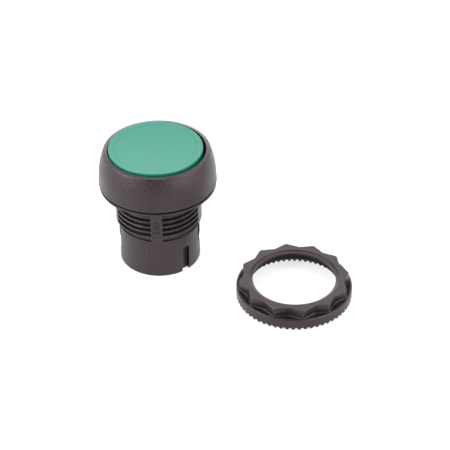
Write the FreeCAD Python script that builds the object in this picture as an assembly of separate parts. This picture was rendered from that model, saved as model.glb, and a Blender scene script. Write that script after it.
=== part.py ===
"""Panel push button head, 22 mm class, flush momentary type, with its loose mounting ring.

Frame, in millimetres: the origin is on the head's axis at the panel's front face, where the gasket
seats. +Z points out of the panel, towards the person who presses the button, and -Y is the side seen
from the front. The head stands on its rear rim, and the mounting ring lies on the same surface beside
it.
"""

import FreeCAD
import Part
import math
import os

from FreeCAD import Placement, Rotation, Vector

# ---- driving dimensions -------------------------------------------------------------------------
REAR_DEPTH = 22.0  # from the panel's front face to the head's rear rim
REAR = -REAR_DEPTH
FRONT = 268.6  # azimuth, in degrees from +X, that the head's front turns to

COLLAR_R = 11.1  # plain shank that centres in a 22.3 mm panel hole
COLLAR_LENGTH = 1.6
THREAD_CREST_R = 10.94
THREAD_ROOT_R = 10.1
THREAD_PITCH = 1.5
THREAD_END = -9.95  # rear end of the threaded length
GROOVE_MOUTH = 1.15  # width of the thread groove at the crest
GROOVE_FLOOR = 0.8  # width of the thread groove at the root
SKIRT_R = 10.3
BORE_R = 8.6

GASKET_SEAT_R = 10.88  # neck behind the collar that the gasket is stretched over
GASKET_R = 14.75
GASKET_LIP = 0.6  # thickness at the outer edge
GASKET_THICKNESS = 0.9  # thickness under the barrel's flange

BEZEL_BOTTOM = 1.2
BEZEL_R = 14.75  # where the dome becomes the straight side
BEZEL_FOOT_R = 14.92
CREASE_R = 13.4  # outer edge of the narrow flat rim
CREASE_Z = 10.1
RIM_Z = 10.3
RIM_HOLE_R = 12.3

CAP_R = 11.85
CAP_TOP = 10.9
CAP_SKIRT_END = 7.35
CAP_PLAY = -0.27  # the cap sits this far to one side of the rim's hole
STEM_R = 5.2
GUIDE_CLEARANCE = 0.08
PUSHER_R = 8.3
PUSHER_FACE = -16.2  # rear face of the pusher, where contact blocks are worked

RING_X = 33.98  # where the loose ring lies
RING_Y = -17.6
RING_TURN = 6.6  # degrees from +X to the nearest star point
RING_FLANGE_R = 14.5
RING_FLANGE_HEIGHT = 2.99
RING_HEIGHT = 5.25
STAR_TIP_R = 13.9
STAR_POINTS = 12
RING_BORE_R = 10.4
RING_THREAD_ROOT_R = 11.05
RING_RELIEF_TOP_R = 11.2
RING_RELIEF_R = 13.2  # inner end of the teeth, round a coned relief
TEETH = 60
TOOTH_HEIGHT = 0.55
TOOTH_TURN = -0.6  # degrees that the tooth gaps stand off the star points

Z_AXIS = Vector(0, 0, 1)
ORIGIN = Vector(0, 0, 0)


# ---- helpers ------------------------------------------------------------------------------------
def outline(start, *steps):
    """Closed face in the XZ plane from (radius, height) points. A pair of points is an arc by way of
    the first.
    """
    at = Vector(start[0], 0, start[1])
    edges = []
    for step in steps + (start,):
        if isinstance(step[0], tuple):
            middle = Vector(step[0][0], 0, step[0][1])
            to = Vector(step[1][0], 0, step[1][1])
            edges.append(Part.Arc(at, middle, to).toShape())
        else:
            to = Vector(step[0], 0, step[1])
            edges.append(Part.LineSegment(at, to).toShape())
        at = to
    return Part.Face(Part.Wire(edges))


def turned(start, *steps):
    """Solid of revolution about the head's axis."""
    return outline(start, *steps).revolve(ORIGIN, Z_AXIS, 360)


def at_azimuth(shape, degrees):
    """Copy of a shape turned about the head's axis from +X to an azimuth."""
    copy = shape.copy()
    copy.rotate(ORIGIN, Z_AXIS, degrees)
    return copy


def block(r_inner, r_outer, width, low, high, azimuth):
    """Box that runs radially outwards at an azimuth."""
    box = Part.makeBox(r_outer - r_inner, width, high - low, Vector(r_inner, -width / 2, low))
    return at_azimuth(box, azimuth)


def sector(face, half_angle, azimuth):
    """Solid swept by a face of the XZ plane either side of an azimuth."""
    return at_azimuth(face, azimuth - half_angle).revolve(ORIGIN, Z_AXIS, 2 * half_angle)


def helical_tool(profile, radius, turns, low):
    """Solid swept along a right-hand helix that starts at +X. The profile is (radius, height) points."""
    path = Part.Wire(Part.makeHelix(THREAD_PITCH, THREAD_PITCH * turns, radius).Edges)
    points = [Vector(r, 0, z) for r, z in profile]
    tool = path.makePipeShell([Part.makePolygon(points + points[:1])], True, True)
    tool.translate(Vector(0, 0, low))
    return tool


def one_solid(shape):
    """The solid in a shape, cleaned of split faces and of the slivers that a thread's run-out leaves."""
    solids = sorted(shape.removeSplitter().Solids, key=lambda solid: solid.Volume)
    assert sum(solid.Volume for solid in solids[:-1]) < 0.3, [solid.Volume for solid in solids]
    return solids[-1]


# ---- fixed pieces of the head -------------------------------------------------------------------
FLANGE_R = 13.3  # front flange of the barrel, inside the bezel
FLANGE_TOP = 2.2
BEAD_GROOVE_R = (11.95, 12.85)  # seat of the diaphragm's outer bead
SHELF = (-8.0, -6.5)  # inner shelf that carries the guide bush
SHELF_HOLE_R = 6.55
SKIRT_TOP = THREAD_END - 1.15

FRONT_LAND_HALF = 7.7  # degrees either side of the plain land at the front, and at the back
SIDE_LAND_HALF = 22.0  # degrees either side of the plain lands at the sides
FRONT_LAND_FOOT = -8.8
# inner keys that stop the pusher from turning
KEY_AZIMUTHS = (FRONT, FRONT + 90, FRONT + 180, FRONT + 270)
KEY_GROOVE_AZIMUTH = FRONT + 42.5
KEY_GROOVE_WIDTH = 2.33
KEY_GROOVE_FLOOR = 9.15
KEY_GROOVE_TOP = REAR + 7.45


def thread_grooves():
    """Helical groove, with plain lands left at the front, the back and the sides."""
    half_mouth = GROOVE_MOUTH / 2
    half_floor = GROOVE_FLOOR / 2
    over = 0.35  # the cutter stands this far outside the crest
    flare = (half_mouth - half_floor) * over / (THREAD_CREST_R - THREAD_ROOT_R)
    profile = [
        (THREAD_ROOT_R, -half_floor),
        (THREAD_CREST_R + over, -half_mouth - flare),
        (THREAD_CREST_R + over, half_mouth + flare),
        (THREAD_ROOT_R, half_floor),
    ]
    tool = helical_tool(profile, THREAD_ROOT_R, 6, THREAD_END - 1.015)
    inner, outer = THREAD_ROOT_R - 1, COLLAR_R + 1
    land = outline((inner, THREAD_END - 3), (outer, THREAD_END - 3), (outer, 0), (inner, 0))
    lands = []
    for turn in (0, 180):
        lands.append(sector(land, FRONT_LAND_HALF, FRONT + turn))
        lands.append(sector(land, SIDE_LAND_HALF, FRONT + 90 + turn))
    return tool.cut(lands)


def latch_recess(azimuth):
    """Flat on the skirt's side with a ramped foot, and a tapered lug on it for a contact block's latch."""
    floor = 9.82
    outer = SKIRT_R + 0.8
    high = SKIRT_TOP
    foot = REAR + 3.7
    recess = outline((outer, high), (floor, high), (floor, foot), (SKIRT_R, foot - 1.9), (outer, foot - 1.9))
    recess = recess.extrude(Vector(0, 8, 0))
    recess.translate(Vector(0, -4, 0))
    lug = outline(
        (floor - 0.3, high - 0.9),
        (SKIRT_R, high - 1.4),
        (SKIRT_R, high - 3.6),
        (floor + 0.1, foot + 0.3),
        (floor - 0.3, foot),
    )
    return at_azimuth(recess.cut(sector(lug, 4.5, 0)), azimuth)


def mould_mark():
    """Sunk ejector mark on the front land: a ring round a dot, with a pointer and three bars."""
    reach = THREAD_CREST_R + 0.3
    depth = 0.3 + 0.25
    direction = Rotation(Z_AXIS, FRONT)
    centre = direction.multVec(Vector(reach, 0, -5.6))
    inward = direction.multVec(Vector(-1, 0, 0))
    ring = Part.makeCylinder(1.05, depth, centre, inward)
    ring = ring.cut(Part.makeCylinder(0.72, depth, centre, inward))
    dot = Part.makeCylinder(0.36, depth, centre, inward)
    pointer = block(reach - depth, reach, 0.24, -5.5, -4.75, FRONT)
    bar_turns = (-3.6, 0, 3.6)
    bars = [block(reach - depth, reach, 0.34, -7.95, -6.95, FRONT + turn) for turn in bar_turns]
    return [ring, dot, pointer] + bars


def threaded_body():
    """Barrel with a front flange, interrupted thread, rear skirt and inner shelf."""
    undercut = THREAD_ROOT_R - 0.25
    body = turned(
        (BORE_R + 0.25, REAR),
        (SKIRT_R - 0.25, REAR),
        (SKIRT_R, REAR + 0.25),
        (SKIRT_R, SKIRT_TOP),
        (undercut, SKIRT_TOP + 0.2),
        (undercut, THREAD_END - 0.15),
        (THREAD_CREST_R - 0.15, THREAD_END),
        (THREAD_CREST_R, THREAD_END + 0.12),
        (THREAD_CREST_R, -COLLAR_LENGTH),
        (COLLAR_R, -COLLAR_LENGTH + 0.16),
        (COLLAR_R, 0),
        (GASKET_SEAT_R, 0),
        (GASKET_SEAT_R, GASKET_THICKNESS),
        (FLANGE_R, GASKET_THICKNESS),
        (FLANGE_R, 1.35),
        (FLANGE_R - 0.25, 1.35),
        (FLANGE_R - 0.25, 1.55),
        (FLANGE_R + 0.15, 1.75),
        (FLANGE_R + 0.15, 2.0),
        (FLANGE_R - 0.05, FLANGE_TOP),
        (BEAD_GROOVE_R[1], FLANGE_TOP),
        (BEAD_GROOVE_R[1], FLANGE_TOP - 0.8),
        (BEAD_GROOVE_R[0], FLANGE_TOP - 0.8),
        (BEAD_GROOVE_R[0], FLANGE_TOP),
        (11.3, FLANGE_TOP),
        (10.9, 1.8),
        (BORE_R + 0.4, 1.8),
        (BORE_R, 1.4),
        (BORE_R, SHELF[1]),
        (SHELF_HOLE_R, SHELF[1]),
        (SHELF_HOLE_R, SHELF[0]),
        (BORE_R, SHELF[0]),
        (BORE_R, REAR + 0.25),
    )
    # the front and back lands run over the undercut and fade into the skirt below a small ledge
    ledge_r = 10.5
    foot = SKIRT_TOP - 0.3
    fade = outline((9.6, foot), (SKIRT_R, foot), (ledge_r, -9.8), (ledge_r, -8.0), (9.6, -8.0))
    low, high = THREAD_END - 0.2, FRONT_LAND_FOOT
    step = outline((ledge_r, low), (12.0, low), (12.0, high), (ledge_r, high))
    cuts = [thread_grooves(), *mould_mark()]
    for turn in (0, 180):
        body = body.fuse(sector(fade, FRONT_LAND_HALF, FRONT + turn))
        cuts.append(sector(step, FRONT_LAND_HALF - 1.6, FRONT + turn))
        cuts.append(latch_recess(FRONT + 90 + turn))
    groove_r = (KEY_GROOVE_FLOOR, SKIRT_R + 1)
    cuts.append(block(*groove_r, KEY_GROOVE_WIDTH, REAR - 1, KEY_GROOVE_TOP, KEY_GROOVE_AZIMUTH))
    body = body.cut(cuts)
    key_r = (7.7, BORE_R + 0.3)
    keys = [block(*key_r, 1.4, REAR + 1.2, SHELF[0] + 0.2, azimuth) for azimuth in KEY_AZIMUTHS]
    rib = block(SKIRT_R - 0.4, SKIRT_R + 0.12, 0.5, REAR + 6.3, REAR + 10.2, FRONT - 15.1)
    return one_solid(body.fuse(keys + [rib]))


def front_bezel():
    """Domed front ring with a narrow flat rim, snapped over the barrel's flange."""
    body = turned(
        (13.6, BEZEL_BOTTOM),
        (BEZEL_FOOT_R - 0.2, BEZEL_BOTTOM),
        ((BEZEL_FOOT_R - 0.06, BEZEL_BOTTOM + 0.06), (BEZEL_FOOT_R, BEZEL_BOTTOM + 0.2)),
        (BEZEL_R, 3.7),
        ((14.37, 6.9), (CREASE_R + 0.06, CREASE_Z - 0.15)),
        (CREASE_R - 0.05, CREASE_Z),
        (RIM_HOLE_R + 0.2, RIM_Z),
        ((RIM_HOLE_R + 0.06, RIM_Z - 0.06), (RIM_HOLE_R, RIM_Z - 0.2)),
        (RIM_HOLE_R, 8.9),
        (13.0, 8.0),
        (13.0, 3.2),
        (13.5, 3.2),
        (13.5, 1.75),
        (13.15, 1.55),
        (13.15, 1.4),
    )
    ribs = [block(12.75, 13.2, 0.8, 3.2, 7.6, 30.0 * i) for i in range(12)]  # stiffen the side wall
    return one_solid(body.fuse(ribs))


def panel_gasket():
    """Rubber ring between the bezel and the panel, thicker under the barrel's flange."""
    bore = GASKET_SEAT_R + 0.04
    web = 0.15  # the seal thins behind its lip, so that the lip can flex
    return turned(
        (bore, 0.2),
        (COLLAR_R + 0.05, 0),
        (GASKET_R - 0.2, 0),
        ((GASKET_R - 0.06, 0.06), (GASKET_R, 0.2)),
        (GASKET_R, GASKET_LIP - 0.12),
        (GASKET_R - 0.12, GASKET_LIP),
        (GASKET_R - 0.3, GASKET_LIP),
        (GASKET_R - 0.75, web),
        (13.45, web),
        (13.25, GASKET_THICKNESS),
        (bore, GASKET_THICKNESS),
    )


def seal_clamp_ring():
    """Hard ring that presses the diaphragm's outer bead into the barrel's groove."""
    return turned(
        (12.88, FLANGE_TOP),
        (13.25, FLANGE_TOP),
        (13.45, FLANGE_TOP + 0.2),
        (13.45, 3.2),
        (11.7, 3.2),
        (11.5, 3.0),
        (11.5, 2.6),
        (12.88, 2.6),
    )


LIP = (6.0, 6.4)  # heights of the diaphragm's inner lip, clamped between plunger and cap carrier


def diaphragm_seal():
    """Rubber bell that keeps water out of the barrel while the button moves."""
    return turned(
        (4.95, LIP[0]),
        (7.9, LIP[0]),
        ((9.35, 5.38), (10.1, 4.2)),
        ((10.45, 2.7), (11.3, FLANGE_TOP)),
        (12.0, FLANGE_TOP),
        (12.0, FLANGE_TOP - 0.75),
        (12.8, FLANGE_TOP - 0.75),
        (12.8, 2.6),
        (11.3, 2.6),
        ((10.82, 2.95), (10.5, 4.3)),
        ((9.65, 5.68), (7.95, LIP[1])),
        (4.95, LIP[1]),
    )


BUSH_SEAT = -5.9  # front face of the bush's flange, under the spring
BUSH_END = -11.0


def guide_bush():
    """Low-friction flanged bush in the shelf: it guides the plunger and seats the spring."""
    bore = STEM_R + GUIDE_CLEARANCE
    return turned(
        (bore, BUSH_END),
        (SHELF_HOLE_R - 0.25, BUSH_END),
        (SHELF_HOLE_R - 0.05, BUSH_END + 0.3),
        (SHELF_HOLE_R - 0.05, SHELF[1]),
        (BORE_R - 0.1, SHELF[1]),
        (BORE_R - 0.1, BUSH_SEAT + 0.6),
        (7.7, BUSH_SEAT + 0.6),
        (7.7, BUSH_SEAT),
        (bore + 0.2, BUSH_SEAT),
        (bore, BUSH_SEAT - 0.2),
    )


SPRING_WIRE = 0.8
SPRING_R = 6.7
SPRING_TOP = 5.0
SPRING_TURNS = 7


def return_spring():
    """Compression spring between the guide bush and the plunger's flange, with both ends ground flat."""
    length = SPRING_TOP - BUSH_SEAT
    path = Part.Wire(Part.makeHelix(length / SPRING_TURNS, length, SPRING_R).Edges)
    section = Part.Wire(Part.makeCircle(SPRING_WIRE / 2, Vector(SPRING_R, 0, 0), Vector(0, 1, 0)))
    coil = path.makePipeShell([section], True, True)
    coil.translate(Vector(0, 0, BUSH_SEAT))
    return one_solid(coil.common(Part.makeCylinder(SPRING_R + 1, length, Vector(0, 0, BUSH_SEAT))))


# ---- pieces that travel with the button ---------------------------------------------------------
def button_cap():
    """Coloured cap with a slightly sloped raised rim, and a small step down from it to a shallow dish."""
    step_r = 10.6
    step = 0.2
    body = turned(
        (0, 9.1),
        (10.95, 9.1),
        (10.95, 7.98),
        (10.5, 7.75),
        (10.5, 7.6),
        (10.75, CAP_SKIRT_END),
        (CAP_R - 0.1, CAP_SKIRT_END),
        (CAP_R, CAP_SKIRT_END + 0.1),
        (CAP_R, CAP_TOP - 0.3),
        ((CAP_R - 0.06, CAP_TOP - 0.16), (CAP_R - 0.2, CAP_TOP - 0.1)),
        (step_r, CAP_TOP),
        (step_r - step, CAP_TOP - step),
        (0, CAP_TOP - step),
    )
    dish_r = 10.3
    dish_depth = 0.25
    ball_r = (dish_r**2 + dish_depth**2) / (2 * dish_depth)
    ball = Part.makeSphere(ball_r, Vector(0, 0, CAP_TOP - step - dish_depth + ball_r))
    cap = one_solid(body.cut(ball))
    cap.translate(Vector(CAP_PLAY, 0, 0))
    return cap


def cap_carrier():
    """Black holder: the cap snaps over its rim, and its hub clamps the diaphragm's inner lip."""
    hub_bore = 4.5
    body = turned(
        (hub_bore, LIP[1]),
        (7.4, LIP[1]),
        (7.4, 7.9),
        (9.5, 7.9),
        (9.5, 7.3),
        (10.05, 7.3),
        (10.2, 7.45),
        (10.2, 7.85),
        (10.7, 8.1),
        (10.7, 9.08),
        (4.0, 9.08),
        (4.0, 8.35),
        (hub_bore, 8.35),
    )
    ribs = [block(7.2, 9.7, 0.9, 7.3, 8.1, 60.0 * i) for i in range(6)]
    return one_solid(body.fuse(ribs))


PLUNGER_END = -12.6
PUSHER_SEAT = BUSH_END - 0.05  # the pusher stops under the guide bush when the button is out


def plunger():
    """Hollow stem with a flange for the spring and a split snap head at the front."""
    wall = 1.5
    neck_r = STEM_R - 0.55
    body = turned(
        (STEM_R - wall, PLUNGER_END),
        (neck_r, PLUNGER_END),
        (neck_r, PUSHER_SEAT),
        (STEM_R, PUSHER_SEAT),
        (STEM_R, SPRING_TOP - 1.0),
        (5.9, SPRING_TOP - 0.6),
        (5.9, SPRING_TOP),
        (7.6, SPRING_TOP),
        (7.6, LIP[0]),
        (4.9, LIP[0]),
        (4.45, LIP[0] + 0.4),
        (4.45, 7.7),
        (3.95, 8.3),
        (2.9, 8.3),
        (2.9, 4.4),
        (STEM_R - wall, 3.8),
    )
    slots = [block(-4.6, 4.6, 0.9, 6.6, 8.6, FRONT + turn) for turn in (0, 90)]
    web = Part.makeCylinder(STEM_R - wall + 0.05, 1.0, Vector(0, 0, 2.6))
    return one_solid(body.cut(slots).fuse(web))


def pusher_plate():
    """Rear actuator, snapped on the stem: a rimmed cross that works up to four contact blocks."""
    floor = -13.6
    body = turned(
        (STEM_R - 0.5, PUSHER_SEAT),
        (6.1, PUSHER_SEAT),
        (6.1, -12.2),
        (PUSHER_R - 0.15, -12.2),
        (PUSHER_R, -12.35),
        (PUSHER_R, PUSHER_FACE + 0.3),
        (PUSHER_R - 0.25, PUSHER_FACE),
        (PUSHER_R - 1.3, PUSHER_FACE),
        (PUSHER_R - 1.3, floor),
        (0, floor),
        (0, PLUNGER_END - 0.02),
        (STEM_R - 0.5, PLUNGER_END - 0.02),
    )
    reach = PUSHER_R - 0.6
    top = floor + 0.2
    arms = [block(-reach, reach, 1.8, PUSHER_FACE, top, FRONT + turn) for turn in (0, 90)]
    boss = Part.makeCylinder(2.4, top - PUSHER_FACE, Vector(0, 0, PUSHER_FACE))
    keyway_r = (7.5, PUSHER_R + 1)
    keyways = [block(*keyway_r, 1.8, PUSHER_FACE - 1, -12.0, azimuth) for azimuth in KEY_AZIMUTHS]
    return one_solid(body.fuse(arms + [boss]).cut(keyways))


# ---- loose mounting ring ------------------------------------------------------------------------
def star_outline(tip_r, height):
    """Twelve-point star with blunted tips: the outline of two hexagons a half step apart."""
    step = math.radians(360.0 / STAR_POINTS)
    valley_r = tip_r * math.cos(step) / math.cos(step / 2)
    blunt = 0.28  # length taken off each side of a tip
    points = []
    for i in range(STAR_POINTS):
        tip = Vector(tip_r * math.cos(i * step), tip_r * math.sin(i * step), height)
        sides = []
        for turn in (-0.5, 0.5):
            angle = (i + turn) * step
            valley = Vector(valley_r * math.cos(angle), valley_r * math.sin(angle), height)
            sides.append(tip + (valley - tip).normalize() * blunt)
        points += sides + [valley]
    return Part.makePolygon(points + points[:1])


def star_prism(tip_r, low, high, bevel):
    """Star-shaped prism with bevelled top edges."""
    body = Part.Face(star_outline(tip_r, low)).extrude(Vector(0, 0, high - low - bevel))
    rims = [star_outline(tip_r, high - bevel), star_outline(tip_r - bevel, high)]
    return body.fuse(Part.makeLoft(rims, True, True))


def tooth_gap():
    """One gap between two teeth of the ring's underside, narrowing towards the axis."""
    below = 0.5  # the cutter stands this far under the teeth
    sections = []
    for r in (11.0, 15.5):
        scale = r / RING_FLANGE_R
        mouth = 0.83 * scale
        floor = 0.27 * scale
        corners = [(-mouth, -below), (mouth, -below), (floor, TOOTH_HEIGHT), (-floor, TOOTH_HEIGHT)]
        points = [Vector(r, y, z) for y, z in corners]
        sections.append(Part.makePolygon(points + points[:1]))
    return Part.makeLoft(sections, True, True)


def mounting_ring():
    """Star nut with a round flange, toothed underneath to grip the panel's rear face."""
    top = RING_HEIGHT
    flange_top = RING_FLANGE_HEIGHT
    trough = 0.35  # the flange's top falls towards the star
    flange = turned(
        (0, 0),
        (RING_FLANGE_R - 0.1, 0),
        (RING_FLANGE_R, 0.1),
        (RING_FLANGE_R, flange_top - 0.25),
        ((RING_FLANGE_R - 0.07, flange_top - 0.07), (RING_FLANGE_R - 0.25, flange_top)),
        (RING_FLANGE_R - 0.4, flange_top),
        (12.9, flange_top - trough),
        (0, flange_top - trough),
    )
    star = star_prism(STAR_TIP_R, 1.0, top, 0.12)
    ledge = star_prism(STAR_TIP_R + 0.25, 1.0, flange_top + 0.08, 0.1)
    ledge = ledge.common(Part.makeCylinder(RING_FLANGE_R - 0.4, top))
    mouth = turned(
        (0, top + 0.5),
        (11.62, top + 0.5),
        (11.12, top),
        (11.02, top - 0.3),
        (RING_BORE_R, top - 0.48),
        (RING_BORE_R, top - 0.8),
        (RING_RELIEF_TOP_R, 2.7),
        (RING_RELIEF_TOP_R, 2.25),
        (RING_RELIEF_R - 0.1, 0.5),
        (RING_RELIEF_R, 0),
        (RING_RELIEF_R, -1),
        (0, -1),
    )
    thread_profile = [
        (RING_BORE_R - 0.4, -0.6),
        (RING_THREAD_ROOT_R, -0.22),
        (RING_THREAD_ROOT_R, 0.22),
        (RING_BORE_R - 0.4, 0.6),
    ]
    thread = helical_tool(thread_profile, RING_BORE_R, 1.7, 1.42)
    gaps = [at_azimuth(tooth_gap(), 360.0 / TEETH * i + TOOTH_TURN) for i in range(TEETH)]
    ring = one_solid(flange.fuse([star, ledge]).cut(mouth).cut(thread).cut(gaps))
    ring.Placement = Placement(Vector(RING_X, RING_Y, REAR), Rotation(Z_AXIS, RING_TURN)) * ring.Placement
    return ring


PIECES = {
    "threaded_body": threaded_body,
    "front_bezel": front_bezel,
    "panel_gasket": panel_gasket,
    "seal_clamp_ring": seal_clamp_ring,
    "diaphragm_seal": diaphragm_seal,
    "guide_bush": guide_bush,
    "return_spring": return_spring,
    "button_cap": button_cap,
    "cap_carrier": cap_carrier,
    "plunger": plunger,
    "pusher_plate": pusher_plate,
    "mounting_ring": mounting_ring,
}

os.makedirs("parts", exist_ok=True)
for name, make in PIECES.items():
    shape = make()
    print(name, "valid" if shape.isValid() else "INVALID", round(shape.Volume, 1))
    shape.exportStep("parts/" + name + ".step")
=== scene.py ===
"""Looks of a panel push button head and its loose mounting ring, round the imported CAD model.

Everything is in metres, in the CAD model's frame: the head's axis is Z, the panel's front face is
z = 0, and the surface that both pieces stand on is at the lowest point of the CAD box.
"""

import math

import bmesh
import bpy
from mathutils import Euler, Matrix, Vector


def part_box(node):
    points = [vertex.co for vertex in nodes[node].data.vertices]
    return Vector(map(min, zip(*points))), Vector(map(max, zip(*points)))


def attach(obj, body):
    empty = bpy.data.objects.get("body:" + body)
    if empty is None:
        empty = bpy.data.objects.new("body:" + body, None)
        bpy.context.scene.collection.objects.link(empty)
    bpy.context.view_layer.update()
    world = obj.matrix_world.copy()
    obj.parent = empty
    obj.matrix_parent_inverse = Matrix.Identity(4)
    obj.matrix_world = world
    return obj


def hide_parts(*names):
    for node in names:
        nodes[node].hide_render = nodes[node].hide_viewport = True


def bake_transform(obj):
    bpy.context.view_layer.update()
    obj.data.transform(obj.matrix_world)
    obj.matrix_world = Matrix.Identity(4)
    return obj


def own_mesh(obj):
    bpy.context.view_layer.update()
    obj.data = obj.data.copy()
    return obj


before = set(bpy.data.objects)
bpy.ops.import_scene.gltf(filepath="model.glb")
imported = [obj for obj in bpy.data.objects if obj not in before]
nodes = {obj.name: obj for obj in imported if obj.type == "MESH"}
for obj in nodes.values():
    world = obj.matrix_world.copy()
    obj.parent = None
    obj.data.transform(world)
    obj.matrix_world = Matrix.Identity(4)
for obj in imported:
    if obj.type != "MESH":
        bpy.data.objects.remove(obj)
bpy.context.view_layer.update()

MM = 0.001  # a millimetre, in metres
floor_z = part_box("mounting_ring")[0].z


# ---- node helpers -------------------------------------------------------------------------------
class Shader:
    """A material's node tree, with short ways to add the nodes that the finishes below share."""

    def __init__(self, name):
        self.material = bpy.data.materials.new(name + "_finish")
        self.material.use_nodes = True
        self.tree = self.material.node_tree
        self.surface = self.tree.nodes["Principled BSDF"]
        coordinates = self.add("ShaderNodeTexCoord")
        self.place = coordinates.outputs["Object"]
        self.normal = coordinates.outputs["Normal"]

    def add(self, kind, **settings):
        """New node of a kind, with its settings."""
        node = self.tree.nodes.new(kind)
        for name, value in settings.items():
            setattr(node, name, value)
        return node

    def feed(self, socket, value):
        """Links an output to a socket, or sets the socket's own value."""
        if isinstance(value, bpy.types.NodeSocket):
            self.tree.links.new(value, socket)
        else:
            socket.default_value = value

    def dress(self, colour, roughness, normal=None):
        """Feeds the surface its colour, its roughness and, where it has bumps, its normal."""
        self.feed(self.surface.inputs["Base Color"], colour)
        self.feed(self.surface.inputs["Roughness"], roughness)
        if normal is not None:
            self.feed(self.surface.inputs["Normal"], normal)

    def math(self, operation, a, b=0.0):
        """Arithmetic on two values."""
        node = self.add("ShaderNodeMath", operation=operation)
        self.feed(node.inputs[0], a)
        self.feed(node.inputs[1], b)
        return node.outputs[0]

    def product(self, a, b):
        return self.math("MULTIPLY", a, b)

    def vector_math(self, operation, a, b=(0.0, 0.0, 0.0)):
        """Outputs Vector and Value of an operation on two vectors."""
        node = self.add("ShaderNodeVectorMath", operation=operation)
        self.feed(node.inputs[0], a)
        self.feed(node.inputs[1], b)
        return node.outputs

    def remap(self, value, low, high, to_low=0.0, to_high=1.0):
        """Straight-line map of a value from one range to another, clamped."""
        node = self.add("ShaderNodeMapRange")
        self.feed(node.inputs["Value"], value)
        sockets = ("From Min", "From Max", "To Min", "To Max")
        for socket, number in zip(sockets, (low, high, to_low, to_high)):
            node.inputs[socket].default_value = number
        return node.outputs["Result"]

    def blend(self, share, a, b):
        """Mix of two colours by a share from 0 to 1."""
        node = self.add("ShaderNodeMix", data_type="RGBA")
        self.feed(node.inputs["Factor"], share)
        for name, colour in (("A", a), ("B", b)):
            socket = [s for s in node.inputs if s.name == name and s.type == "RGBA"][0]
            self.feed(socket, (*colour, 1.0) if isinstance(colour, tuple) else colour)
        return [s for s in node.outputs if s.type == "RGBA"][0]

    def scaled(self, stretch):
        """The object's own coordinates, multiplied along each axis."""
        mapping = self.add("ShaderNodeMapping", vector_type="POINT")
        self.feed(mapping.inputs["Vector"], self.place)
        mapping.inputs["Scale"].default_value = stretch
        return mapping.outputs["Vector"]

    def noise(self, size, detail=2.0, roughness=0.5, stretch=None):
        """Noise whose blobs are about size across, from 0 to 1."""
        node = self.add("ShaderNodeTexNoise")
        self.feed(node.inputs["Vector"], self.scaled(stretch) if stretch else self.place)
        node.inputs["Scale"].default_value = 1.0 / size
        node.inputs["Detail"].default_value = detail
        node.inputs["Roughness"].default_value = roughness
        return node.outputs["Fac"]

    def cells(self, size):
        """Distance to the nearest of scattered points, as a share of size, which is their spacing."""
        node = self.add("ShaderNodeTexVoronoi")
        self.feed(node.inputs["Vector"], self.place)
        node.inputs["Scale"].default_value = 1.0 / size
        return node.outputs["Distance"]

    def bump(self, height, distance, normal=None):
        """Normal of a surface raised by height from 0 to 1 times distance, on top of another normal."""
        node = self.add("ShaderNodeBump")
        self.feed(node.inputs["Height"], height)
        node.inputs["Distance"].default_value = distance
        node.inputs["Strength"].default_value = 1.0
        if normal is not None:
            self.feed(node.inputs["Normal"], normal)
        return node.outputs["Normal"]

    def soft_edges(self, radius):
        """Normal that is rounded over every sharp edge."""
        node = self.add("ShaderNodeBevel", samples=6)
        node.inputs["Radius"].default_value = radius
        return node.outputs["Normal"]

    def edge_share(self, radius):
        """1 on sharp edges, 0 on flat and gently curved areas."""
        flat, sharp = 0.99, 0.88  # cosines of the angle between the rounded normal and the true one
        true_normal = self.add("ShaderNodeNewGeometry").outputs["Normal"]
        cosine = self.vector_math("DOT_PRODUCT", self.soft_edges(radius), true_normal)["Value"]
        return self.remap(cosine, flat, sharp)

    def openness(self, reach):
        """1 on open faces, towards 0 deep inside grooves and gaps narrower than reach."""
        node = self.add("ShaderNodeAmbientOcclusion", samples=6, only_local=True)
        node.inputs["Distance"].default_value = reach
        return node.outputs["AO"]

    def off_axis(self, centre):
        """Level vector to the shaded point from the vertical axis through centre."""
        offset = self.vector_math("SUBTRACT", self.place, centre)["Vector"]
        return self.vector_math("MULTIPLY", offset, (1.0, 1.0, 0.0))["Vector"]

    def circle(self, centre, radius, half_width):
        """1 on a circle round the vertical axis through centre, fading to 0 at half_width from it."""
        distance = self.vector_math("LENGTH", self.off_axis(centre))["Value"]
        gap = self.math("ABSOLUTE", self.math("SUBTRACT", distance, radius))
        return self.remap(gap, half_width, 0.0)

    def inward(self, centre, top):
        """1 on faces below top that look in at the vertical axis through centre."""
        fade = 0.1 * MM
        level, facing_in = -0.2, -0.4  # cosines of the angle between the normal and the way out
        way_out = self.vector_math("NORMALIZE", self.off_axis(centre))["Vector"]
        cosine = self.vector_math("DOT_PRODUCT", way_out, self.normal)["Value"]
        split = self.add("ShaderNodeSeparateXYZ")
        self.feed(split.inputs["Vector"], self.place)
        below = self.remap(split.outputs["Z"], top, top - fade)
        return self.product(below, self.remap(cosine, level, facing_in))


# ---- finishes -----------------------------------------------------------------------------------
WHITE = (1.0, 1.0, 1.0, 1.0)
PURPLE_SHEEN = (1.0, 0.76, 0.89, 1.0)  # the black plastics' gloss is faintly purple
PINK_SHEEN = (1.0, 0.92, 0.90, 1.0)  # the cap's gloss is faintly pink
BLACK = (0.0042, 0.0028, 0.0025)
SOOT = (0.0062, 0.0044, 0.0042)
RUBBED_BLACK = (0.12, 0.11, 0.11)
DUST = (0.16, 0.15, 0.145)


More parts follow.
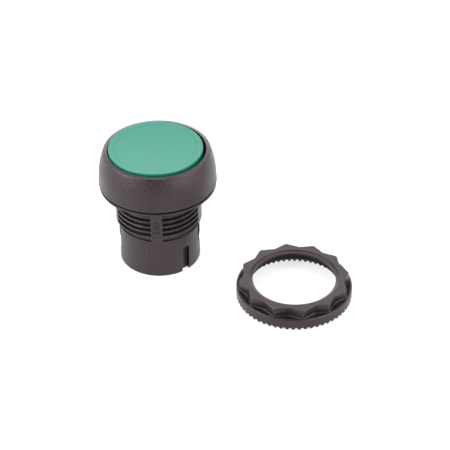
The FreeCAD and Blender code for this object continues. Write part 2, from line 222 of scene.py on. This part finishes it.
def moulded_plastic(
    name, roughness, dark=BLACK, light=SOOT, rubbed=RUBBED_BLACK, grain=0.14 * MM, grain_depth=0.006 * MM,
    sheen=PURPLE_SHEEN, gloss=0.55, painted_shade_bore=None,
):
    """Satin plastic: slow mottling, moulded grain, paler edges that are partly rubbed and partly a painted
    edge highlight, grooves whose gloss is cut as painted shade, and dust specks.

    painted_shade_bore is a centre and a height: faces below that height that look in at the centre's axis
    have hardly any gloss, which paints shade on the bore's inner wall.
    """
    s = Shader(name)
    mottle = s.remap(s.noise(5.5 * MM, detail=3.0), 0.35, 0.65)
    fine = s.noise(grain, roughness=0.6)
    groove_width, edge_width = 0.8 * MM, 0.14 * MM
    openness = s.openness(groove_width)

    tint = s.blend(mottle, dark, light)
    tint = s.blend(s.remap(fine, 0.42, 0.75, to_high=0.2), tint, rubbed)

    # paler edges: partly real rubbing, partly a painted highlight along sharp edges
    patches = s.remap(s.noise(0.9 * MM), 0.4, 0.7, to_low=0.3, to_high=0.9)
    worn_and_highlit_edges = s.product(s.edge_share(edge_width), patches)
    tint = s.blend(s.product(worn_and_highlit_edges, s.remap(openness, 0.35, 0.6)), tint, rubbed)

    speck_gap, speck_rim, speck_core = 0.75 * MM, 0.085, 0.05  # the last two are shares of the gap
    specks = s.remap(s.cells(speck_gap), speck_rim, speck_core)
    dusty_places = s.remap(s.noise(4 * MM), 0.5, 0.62)
    tint = s.blend(s.product(s.product(specks, dusty_places), 0.55), tint, DUST)

    mottled = s.remap(mottle, 0.0, 1.0, to_low=roughness - 0.04, to_high=roughness + 0.05)
    rough = s.math("ADD", mottled, s.remap(fine, 0.3, 0.7, to_low=-0.05, to_high=0.06))

    # painted shade: the gloss falls with ambient occlusion, so grooves, gaps and recesses go dark
    gloss_with_painted_shade = s.remap(openness, 0.1, 0.5, to_low=0.1 * gloss, to_high=gloss)
    # painted shade: the ring's inner wall loses nearly all its gloss, so it stays dark
    if painted_shade_bore:
        gloss_with_painted_shade = s.product(gloss_with_painted_shade, s.remap(s.inward(*painted_shade_bore), 0.0, 1.0, to_low=1.0, to_high=0.05))
    s.feed(s.surface.inputs["Specular IOR Level"], gloss_with_painted_shade)
    s.surface.inputs["Specular Tint"].default_value = sheen

    waves = s.bump(s.noise(2.2 * MM), 0.012 * MM, s.soft_edges(0.07 * MM))
    s.dress(tint, rough, s.bump(fine, grain_depth, waves))
    return s.material


def cap_plastic(name, centre, rim_inner_r):
    """Smooth green plastic: flow marks, orange peel, hairline rubs and a painted shadow line inside the rim.
    """
    deep, bright = (0.0035, 0.173, 0.119), (0.0053, 0.189, 0.134)
    rubbed, rim_shadow_green = (0.05, 0.26, 0.19), (0.002, 0.05, 0.035)
    s = Shader(name)
    flow = s.noise(7 * MM, detail=3.0, roughness=0.55, stretch=(1.0, 0.6, 1.0))
    tint = s.blend(s.remap(flow, 0.3, 0.7), deep, bright)
    hairlines = s.noise(0.25 * MM, detail=3.0, roughness=0.6, stretch=(0.04, 1.0, 1.0))
    tint = s.blend(s.remap(hairlines, 0.66, 0.76, to_high=0.25), tint, rubbed)
    # painted shadow: a darker green line where the rim steps down to the dish
    painted_rim_shadow = s.circle(centre, rim_inner_r, half_width=0.22 * MM)
    tint = s.blend(s.product(painted_rim_shadow, 0.5), tint, rim_shadow_green)
    s.surface.inputs["Specular Tint"].default_value = PINK_SHEEN
    peel = s.noise(0.45 * MM)
    rough = s.remap(peel, 0.3, 0.7, to_low=0.30, to_high=0.40)
    s.dress(tint, rough, s.bump(peel, 0.004 * MM, s.soft_edges(0.1 * MM)))
    return s.material


def rubber(name, dark, light):
    """Matt moulded rubber with a bloom in patches and a fine grain."""
    s = Shader(name)
    bloom = s.remap(s.noise(3 * MM, detail=4.0, roughness=0.6), 0.4, 0.7)
    rough = s.remap(bloom, 0.0, 1.0, to_low=0.62, to_high=0.75)
    grain = s.bump(s.noise(0.1 * MM), 0.008 * MM, s.soft_edges(0.06 * MM))
    s.dress(s.blend(bloom, dark, light), rough, grain)
    return s.material


def spring_steel(name):
    """Drawn wire with fine streaks in its colour, its gloss and its surface."""
    dull, bright = (0.42, 0.41, 0.40), (0.62, 0.61, 0.59)
    s = Shader(name)
    streaks = s.noise(0.12 * MM, detail=3.0, roughness=0.6, stretch=(1.0, 1.0, 2.5))
    rough = s.remap(streaks, 0.3, 0.7, to_low=0.24, to_high=0.38)
    s.surface.inputs["Metallic"].default_value = 1.0
    s.dress(s.blend(streaks, dull, bright), rough, s.bump(streaks, 0.004 * MM))
    return s.material


def floor_paint(name):
    """Pale matt light table with a faint mottle, lit from beneath so that shadows stay pale."""
    grey, paler_grey, glow = (0.34, 0.34, 0.34), (0.36, 0.36, 0.36), 0.72
    s = Shader(name)
    mottle = s.remap(s.noise(60 * MM, detail=3.0), 0.3, 0.7)
    s.surface.inputs["Specular IOR Level"].default_value = 0.0
    s.surface.inputs["Emission Strength"].default_value = glow
    rough = s.remap(mottle, 0.0, 1.0, to_low=0.85, to_high=0.95)
    s.dress(s.blend(mottle, grey, paler_grey), rough)
    return s.material


cap_low, cap_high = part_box("button_cap")
cap_centre = nodes["button_cap"].matrix_world.inverted() @ ((cap_low + cap_high) / 2)
cap_rim_inner_r = 10.38 * MM  # where the rim meets the dish in the photograph

ring_low, ring_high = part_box("mounting_ring")
ring_bead_depth = 0.8 * MM  # from the ring's top down to the bead in its mouth
to_ring = nodes["mounting_ring"].matrix_world.inverted()
ring_centre = to_ring @ Vector(((ring_low.x + ring_high.x) / 2, (ring_low.y + ring_high.y) / 2, 0.0))
ring_bead = to_ring @ Vector((0.0, 0.0, ring_high.z - ring_bead_depth))

moulded_pieces = {
    "barrel_plastic": dict(roughness=0.36),
    "bezel_plastic": dict(roughness=0.33, grain=0.34 * MM, grain_depth=0.09 * MM),
    "ring_plastic": dict(
        roughness=0.34, dark=(0.006, 0.0042, 0.0053), light=(0.0085, 0.006, 0.008),
        grain=0.16 * MM, grain_depth=0.01 * MM, gloss=0.47, painted_shade_bore=(ring_centre, ring_bead.z),
    ),
    "bush_acetal": dict(
        roughness=0.45, dark=(0.50, 0.48, 0.44), light=(0.56, 0.54, 0.50), rubbed=(0.6, 0.59, 0.56),
        grain=0.12 * MM, grain_depth=0.004 * MM, sheen=WHITE,
    ),
    "inner_grey_plastic": dict(
        roughness=0.45, dark=(0.12, 0.12, 0.125), light=(0.15, 0.15, 0.155), rubbed=(0.2, 0.2, 0.2),
        sheen=WHITE,
    ),
    "carrier_plastic": dict(roughness=0.45),
    "pusher_plastic": dict(roughness=0.45),
}
finishes = {
    "cap_green": cap_plastic("cap_green", cap_centre, cap_rim_inner_r),
    "gasket_rubber": rubber("gasket_rubber", (0.018, 0.014, 0.015), (0.028, 0.023, 0.024)),
    "diaphragm_rubber": rubber("diaphragm_rubber", (0.016, 0.015, 0.015), (0.030, 0.028, 0.028)),
    "spring_steel": spring_steel("spring_steel"),
}
for slot, look in moulded_pieces.items():
    finishes[slot] = moulded_plastic(slot, **look)

for node in nodes.values():
    node.data.materials[0] = finishes[node.data.materials[0].name]


# ---- pieces that change shape as the button moves ------------------------------------------------
def mesh_piece(name, verts, faces, slot):
    """Smooth-shaded mesh object with a finish."""
    mesh = bpy.data.meshes.new(name)
    mesh.from_pydata(verts, [], faces)
    mesh.validate()
    bm = bmesh.new()
    bm.from_mesh(mesh)
    bmesh.ops.recalc_face_normals(bm, faces=bm.faces)
    bm.to_mesh(mesh)
    bm.free()
    mesh.shade_smooth()
    mesh.materials.append(finishes[slot])
    piece = bpy.data.objects.new(name, mesh)
    bpy.context.scene.collection.objects.link(piece)
    return piece


def tangent(line, i):
    """Direction of a line of points at its point i, not yet of unit length."""
    return line[min(i + 1, len(line) - 1)] - line[max(i - 1, 0)]


def tube(name, line, radius, sides, slot):
    """Round wire along a list of points, with closed ends."""
    verts = []
    for i, point in enumerate(line):
        ahead = tangent(line, i)
        outward = Vector((point.x, point.y, 0)).normalized()
        upward = ahead.cross(outward).normalized()
        outward = upward.cross(ahead).normalized()
        for k in range(sides):
            turn = 2 * math.pi * k / sides
            verts.append(point + radius * (math.cos(turn) * outward + math.sin(turn) * upward))
    faces = []
    for i in range(len(line) - 1):
        for k in range(sides):
            a, b = i * sides + k, i * sides + (k + 1) % sides
            faces.append((a, b, b + sides, a + sides))
    faces.append(tuple(range(sides)))
    faces.append(tuple(range((len(line) - 1) * sides, len(line) * sides)))
    return mesh_piece(name, verts, faces, slot)


def lathe(name, profile, steps, slot):
    """Closed ring turned about Z from a closed (radius, height) outline."""
    verts, faces = [], []
    count = len(profile)
    for i in range(steps):
        turn = 2 * math.pi * i / steps
        verts += [(r * math.cos(turn), r * math.sin(turn), z) for r, z in profile]
    for i in range(steps):
        a, b = i * count, (i + 1) % steps * count
        for k in range(count):
            after = (k + 1) % count
            faces.append((a + k, b + k, b + after, a + after))
    return mesh_piece(name, verts, faces, slot)


def spring_coil():
    """Compression spring with closed end coils, ground flat."""
    low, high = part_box("return_spring")
    wire_r, wire_sides = 0.4 * MM, 20
    coil_r = high.x - wire_r
    turns, dead_turns, steps = 7.0, 0.9, 72
    line = []
    for i in range(int(turns * steps) + 1):
        turn = i / steps
        active = min(max((turn - dead_turns) / (turns - 2 * dead_turns), 0.0), 1.0)
        closed = 2 * wire_r * (min(turn, dead_turns) + max(turn - turns + dead_turns, 0.0))
        lift = closed + active * (high.z - low.z - 4 * wire_r * dead_turns)
        angle = 2 * math.pi * turn
        line.append(Vector((coil_r * math.cos(angle), coil_r * math.sin(angle), low.z + lift)))
    piece = tube("spring_coil", line, wire_r, wire_sides, "spring_steel")
    for vert in piece.data.vertices:
        vert.co.z = min(max(vert.co.z, low.z), high.z)
    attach(piece, "head")
    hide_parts("return_spring")
    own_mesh(piece)


def bell_seal():
    """Rubber bell from the barrel's groove up to the lip that the cap carrier clamps."""
    low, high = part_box("diaphragm_seal")
    wall, chamfer = 0.4 * MM, 0.1 * MM
    bead_inner_r, bead_outer_r = 12.0 * MM, 12.8 * MM
    bead_top = 2.6 * MM
    foot_r = 11.1 * MM  # inner end of the flat web between the bead and the bell
    crown_r, bulge = 8.0 * MM, 2.5 * MM  # the wall rises from crown_r + bulge and curves in to crown_r
    shoulder_r, lip_r = 6.4 * MM, 4.96 * MM
    lip_low = high.z - wall
    arc_steps, turn_steps = 20, 96

    centre = [Vector((foot_r, bead_top - wall / 2))]  # middle of the wall, from its foot to its lip
    for i in range(arc_steps + 1):
        turn = math.pi / 2 * i / arc_steps
        rise = (lip_low - bead_top) * math.sin(turn)
        centre.append(Vector((crown_r + bulge * math.cos(turn), bead_top + rise)))
    centre += [Vector((shoulder_r, lip_low)), Vector((lip_r, lip_low))]

    inner, outer = [], []
    for i, point in enumerate(centre):
        along = tangent(centre, i).normalized()
        aside = Vector((-along.y, along.x)) * wall / 2
        inner.append(tuple(point + aside))
        outer.append(tuple(point - aside))
    bead = [
        (bead_outer_r, bead_top), (bead_outer_r, low.z + chamfer), (bead_outer_r - chamfer, low.z),
        (bead_inner_r + chamfer, low.z), (bead_inner_r, low.z + chamfer / 2), (bead_inner_r, bead_top - wall),
    ]
    piece = lathe("bell_seal", bead + inner + outer[::-1], turn_steps, "diaphragm_rubber")
    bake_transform(piece)
    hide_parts("diaphragm_seal")


spring_coil()
bell_seal()


# ---- studio -------------------------------------------------------------------------------------
def studio_floor():
    """Level square that both pieces stand on."""
    half = 3.0  # metres
    corners = [(-half, -half), (half, -half), (half, half), (-half, half)]
    mesh = bpy.data.meshes.new("studio_floor")
    mesh.from_pydata([(x, y, floor_z) for x, y in corners], [], [(0, 1, 2, 3)])
    mesh.materials.append(floor_paint("floor_paint"))
    floor = bpy.data.objects.new("studio_floor", mesh)
    bpy.context.scene.collection.objects.link(floor)


def studio_world():
    """Dim white surroundings, and colours shown as they are."""
    dim = 0.05
    world = bpy.data.worlds.new("studio_light")
    world.use_nodes = True
    background = world.node_tree.nodes["Background"]
    background.inputs["Color"].default_value = WHITE
    background.inputs["Strength"].default_value = dim
    bpy.context.scene.world = world
    bpy.context.scene.view_settings.view_transform = "Standard"


def soft_box(name, azimuth, elevation, size, power):
    """Rectangular area light that faces the object from an azimuth and elevation in degrees."""
    aim = Vector((0.015, -0.01, 0.0))  # between the two pieces
    distance = 0.7
    turn, lift = math.radians(azimuth), math.radians(elevation)
    towards = Vector((math.cos(turn) * math.cos(lift), math.sin(turn) * math.cos(lift), math.sin(lift)))
    lamp = bpy.data.lights.new(name, "AREA")
    lamp.shape = "RECTANGLE"
    lamp.size, lamp.size_y = size
    lamp.energy = power
    light = bpy.data.objects.new(name, lamp)
    light.location = aim + distance * towards
    light.rotation_euler = towards.to_track_quat("Z", "Y").to_euler()
    bpy.context.scene.collection.objects.link(light)


def main_camera():
    """Long lens, a little rolled, that looks down at both pieces from the front, as the photograph does."""
    place = Vector((0.01681, -0.34785, 0.24352))
    elevation, roll = math.radians(36.46), math.radians(-0.59)
    data = bpy.data.cameras.new("camera")
    data.sensor_width = 36.0
    data.lens = 134.56
    data.clip_start = 0.01
    data.clip_end = 20.0
    camera = bpy.data.objects.new("camera", data)
    tilt = Euler((math.pi / 2 - elevation, 0, 0)).to_matrix().to_4x4()
    camera.matrix_world = Matrix.Translation(place) @ tilt @ Matrix.Rotation(roll, 4, "Z")
    bpy.context.scene.collection.objects.link(camera)
    bpy.context.scene.camera = camera


soft_boxes = (  # name, azimuth and elevation in degrees, width and height in metres, watts
    ("left_high_soft_box", 186, 57, (0.4, 0.4), 2.2),
    ("right_high_soft_box", 352, 57, (0.4, 0.4), 1.9),
    ("left_soft_box", 195, 25, (0.45, 0.4), 4.8),
    ("right_soft_box", 345, 25, (0.45, 0.4), 2.8),
    ("back_low_soft_box", 90, 12, (1.0, 0.3), 4.0),
    ("back_soft_box", 90, 36, (1.0, 0.25), 1.1),
    ("back_high_soft_box", 90, 66, (0.8, 0.4), 2.3),
    ("low_front_left_soft_box", 225, 12, (0.5, 0.2), 1.2),
    ("low_front_right_soft_box", 315, 12, (0.5, 0.2), 1.9),
    ("front_soft_box", 270, 45, (0.5, 0.3), 0.1),
)

studio_floor()
studio_world()
for box in soft_boxes:
    soft_box(*box)
main_camera()
